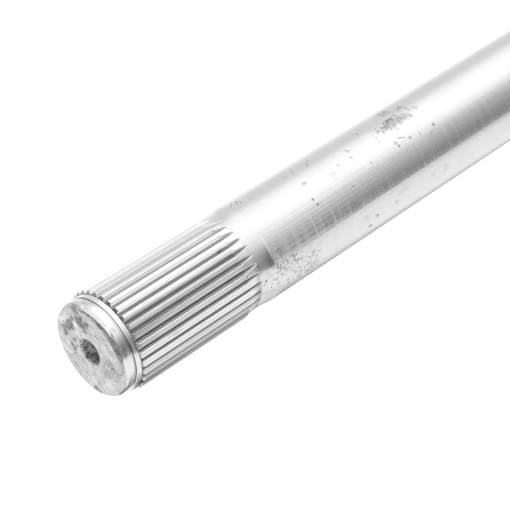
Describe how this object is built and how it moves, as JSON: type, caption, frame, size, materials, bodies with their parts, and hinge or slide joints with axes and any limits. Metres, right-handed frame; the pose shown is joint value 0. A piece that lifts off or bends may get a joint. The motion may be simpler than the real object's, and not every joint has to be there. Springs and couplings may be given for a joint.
{
  "type": "axle shaft",
  "caption": "Straight round steel axle shaft with a splined end, a short pilot in front of the teeth, a relief neck and a plain turned body.",
  "frame": {"origin": "centre of the plain end's face, which the shaft stands on", "axes": "+Z along the shaft's axis from the plain end to the splined end; one tooth is centred on +X"},
  "size_m": [0.036, 0.036, 0.4],
  "materials": {
    "steel": "turned bare steel, lightly pitted and stained"
  },
  "bodies": {
    "root": {"axle_shaft": "steel"}
  },
  "joints": []
}
